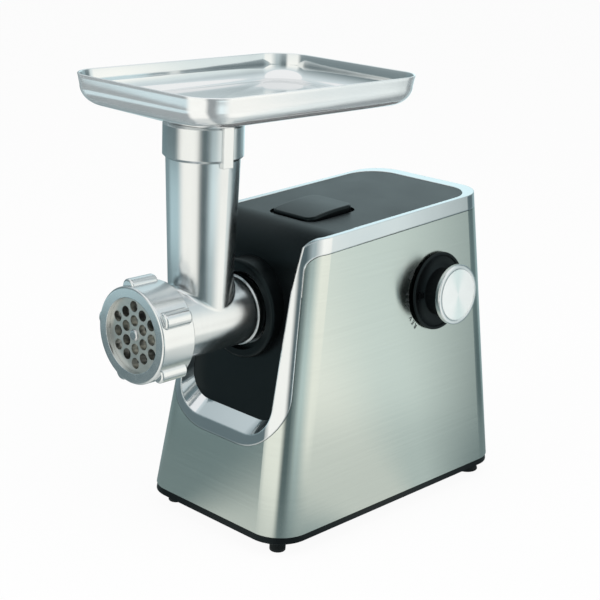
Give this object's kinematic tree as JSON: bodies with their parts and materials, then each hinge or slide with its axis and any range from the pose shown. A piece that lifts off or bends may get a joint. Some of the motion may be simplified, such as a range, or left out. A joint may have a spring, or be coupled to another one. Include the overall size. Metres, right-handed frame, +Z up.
{
  "type": "electric meat grinder",
  "caption": "Electric meat grinder: tapered steel-wrapped motor body, chrome frame, side knob, cast grinding head with ring nut and hole plate, and a tray on its feed tube.",
  "frame": {"origin": "centre of the bounding box's bottom face, on the floor under the feet", "axes": "+Z up, -Y is the front with the grinding head, +X is the side with the knob"},
  "size_m": [0.1748, 0.3654, 0.3683],
  "materials": {
    "base_plastic": "matte moulded",
    "foot_rubber": "matte",
    "steel": "satin, fine level brushing",
    "chrome": "bright plated",
    "black_plastic": "matte moulded",
    "button_plastic": "satin moulded",
    "gearbox_aluminium": "as cast",
    "bronze": "sintered",
    "gear_nylon": "moulded",
    "laminations": "stacked laminations",
    "copper": "turned",
    "carbon": "pressed",
    "machine_steel": "turned",
    "knob_plastic": "satin moulded",
    "disc_aluminium": "spun",
    "board": "coated",
    "board_parts": "moulded",
    "cast_aluminium": "polished casting",
    "screw_aluminium": "as cast",
    "plate_steel": "ground",
    "nut_aluminium": "polished casting",
    "tray_steel": "mirror polished"
  },
  "bodies": {
    "body": {"base_plate": "base_plastic", "front_feet": "foot_rubber", "rear_feet": "foot_rubber", "base_screws": "machine_steel", "steel_wrap": "steel", "chrome_frame": "chrome", "cover": "black_plastic", "button_spring": "machine_steel", "latch_spring": "machine_steel", "head_socket": "gearbox_aluminium", "gearbox_housing": "gearbox_aluminium", "gearbox_cover": "gearbox_aluminium", "gearbox_screws": "machine_steel", "shaft_bushes": "bronze", "motor_stator": "laminations", "field_coils": "copper", "motor_rods": "machine_steel", "motor_spacers": "machine_steel", "motor_rear_frame": "gearbox_aluminium", "brush_holders": "base_plastic", "carbon_brushes": "carbon", "motor_cradle": "base_plastic", "rotary_switch": "base_plastic", "circuit_board": "board", "board_parts": "board_parts", "cord_inlet": "foot_rubber"},
    "drive": {"output_shaft": "machine_steel", "output_gear": "machine_steel", "auger": "screw_aluminium", "knife": "plate_steel"},
    "idler": {"idler_pinion": "machine_steel", "idler_gear": "gear_nylon"},
    "rotor": {"rotor_shaft": "machine_steel", "armature": "laminations", "armature_windings": "copper", "commutator": "copper", "cooling_fan": "base_plastic"},
    "knob": {"knob_shaft": "machine_steel", "knob_dish": "knob_plastic", "knob_cap": "chrome", "knob_disc": "disc_aluminium"},
    "head": {"head_casting": "cast_aluminium", "head_bush": "gear_nylon"},
    "button": {"release_button": "button_plastic"},
    "plate": {"cutting_plate": "plate_steel"},
    "nut": {"ring_nut": "nut_aluminium"},
    "tray": {"tray": "tray_steel"}
  },
  "joints": [
    {"name": "drive_spin", "type": "hinge", "parent": "body", "child": "drive", "pos_m": [-0.00643, -0.04025, 0.184], "axis": [0, 1, 0], "continuous": true},
    {"name": "idler_spin", "type": "hinge", "parent": "body", "child": "idler", "pos_m": [-0.00643, -0.04025, 0.14088], "axis": [0, 1, 0], "continuous": true},
    {"name": "rotor_spin", "type": "hinge", "parent": "body", "child": "rotor", "pos_m": [-0.00643, 0.00975, 0.10487], "axis": [0, 1, 0], "continuous": true},
    {"name": "knob_turn", "type": "hinge", "parent": "body", "child": "knob", "pos_m": [0.06235, 0.08865, 0.1848], "axis": [0.9973, 0, 0.0731], "range_deg": [-32, 32]},
    {"name": "button_press", "type": "slide", "parent": "body", "child": "button", "axis": [0, 0.0539, -0.9985], "range_m": [0, 0.004], "stiffness_N_per_m": 600, "springref_m": -0.002, "deforming": ["button_spring", "latch_spring"]},
    {"name": "head_twist", "type": "hinge", "parent": "body", "child": "head", "pos_m": [-0.00643, -0.06425, 0.184], "axis": [0, 1, 0], "range_deg": [0, 45]},
    {"name": "plate_slide", "type": "slide", "parent": "head", "child": "plate", "axis": [0, -1, 0], "range_m": [0, 0.006]},
    {"name": "ring_nut_turn", "type": "hinge", "parent": "plate", "child": "nut", "pos_m": [-0.00643, -0.18225, 0.184], "axis": [0, -1, 0], "range_deg": [0, 720]},
    {"name": "tray_lift", "type": "slide", "parent": "head", "child": "tray", "axis": [0, 0, 1], "range_m": [0, 0.03]}
  ],
  "couplings": [
    {"joint": "idler_spin", "follows": "drive_spin", "ratio": -6.6667},
    {"joint": "rotor_spin", "follows": "drive_spin", "ratio": 53.333},
    {"joint": "plate_slide", "follows": "ring_nut_turn", "m_per_rad": 0.00047746}
  ]
}
